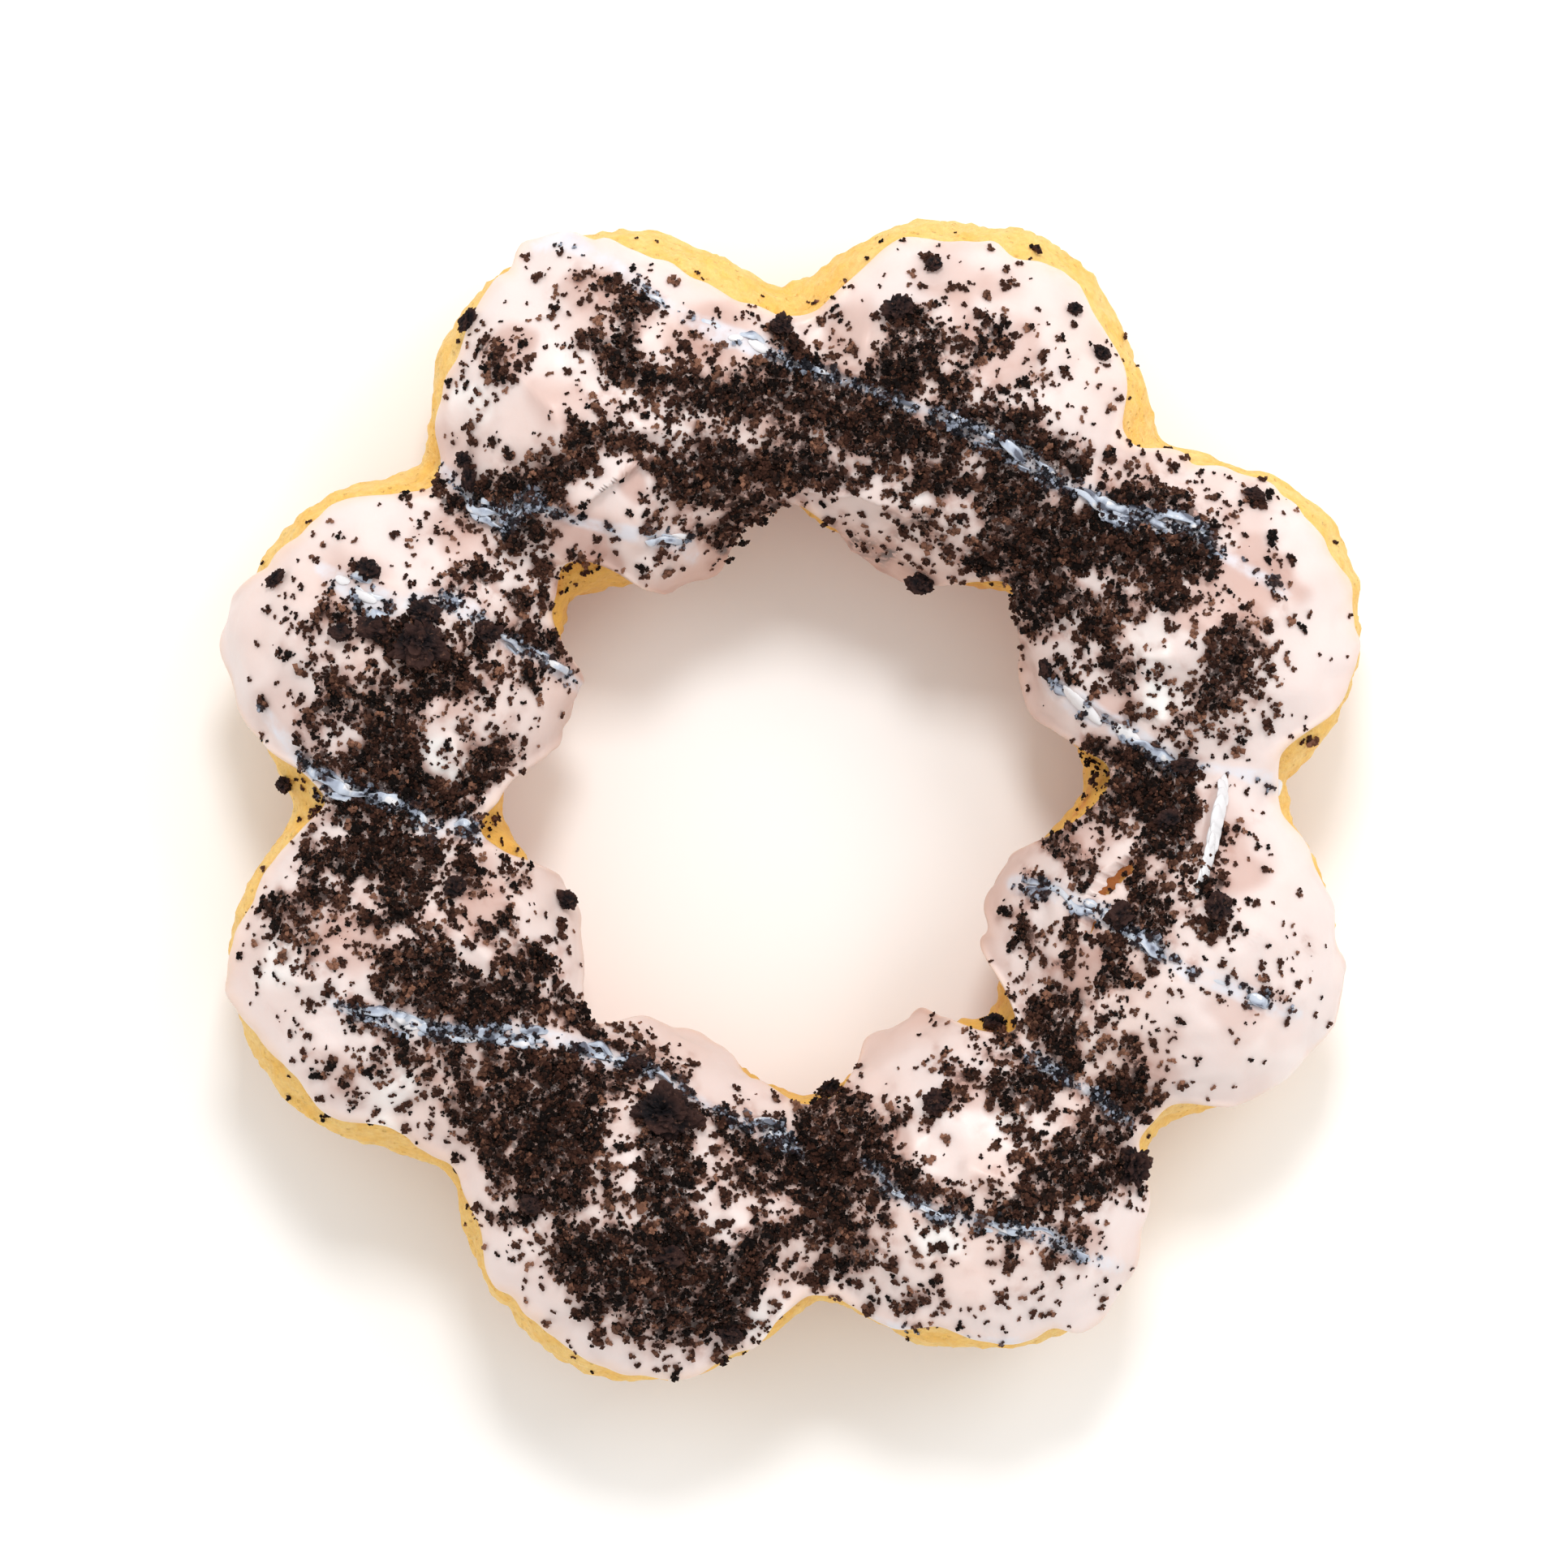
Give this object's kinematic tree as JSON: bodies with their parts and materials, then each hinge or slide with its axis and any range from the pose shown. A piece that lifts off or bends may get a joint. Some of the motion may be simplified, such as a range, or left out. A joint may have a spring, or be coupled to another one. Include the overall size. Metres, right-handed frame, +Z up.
{
  "type": "mochi doughnut",
  "caption": "Ring doughnut of soft dough balls joined in a flower shape, iced pink on top, with dark cookie crumbs and thin milky drizzle.",
  "frame": {"origin": "on the table, under the middle of the ring's bounding box", "axes": "+Z up through the hole, out of the iced side; +Y to the top of the picture and +X to its right"},
  "size_m": [0.0893, 0.0912, 0.0262],
  "materials": {
    "dough": "golden fried dough, fine pores, pale band round the middle",
    "icing": "satin set icing, very pale pink",
    "crumbs": "matte dark brown cookie crumb",
    "drizzle": "thin milky bluish glaze"
  },
  "bodies": {
    "root": {"dough_ring": "dough", "icing": "icing"}
  },
  "joints": []
}
